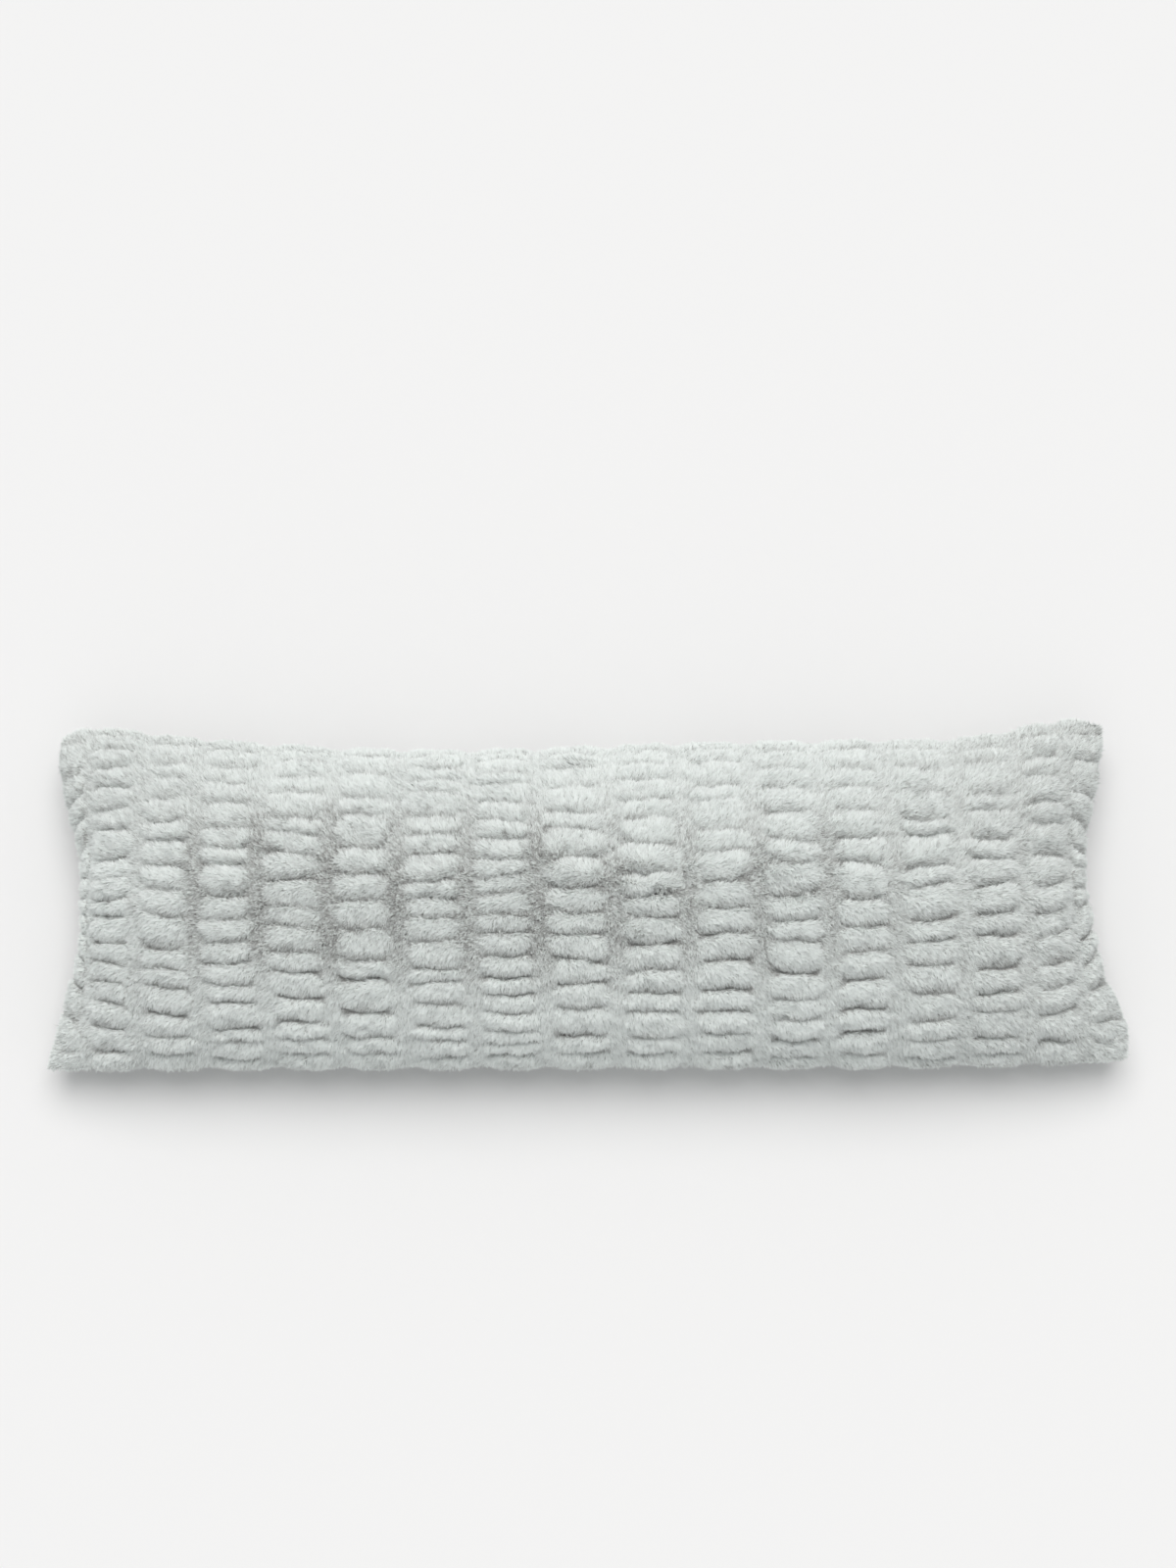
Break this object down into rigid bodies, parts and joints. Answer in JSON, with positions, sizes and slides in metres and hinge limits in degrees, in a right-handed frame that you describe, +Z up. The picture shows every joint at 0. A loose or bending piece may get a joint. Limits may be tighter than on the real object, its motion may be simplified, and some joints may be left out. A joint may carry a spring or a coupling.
{
  "type": "body pillow",
  "caption": "Long body pillow in pale grey-green faux fur, its face gathered along upright seams into columns of short puffs, plain at the back.",
  "frame": {"origin": "middle of the pillow's box on the surface that it lies on, with the pillow on its back", "axes": "+X along the length, +Y towards the upper long edge, +Z up out of the gathered face"},
  "size_m": [1.2108, 0.4006, 0.1569],
  "materials": {
    "faux_fur": "plush short-pile faux fur, matt with a soft sheen at grazing angles"
  },
  "bodies": {
    "root": {"pillow": "faux_fur"}
  },
  "joints": []
}
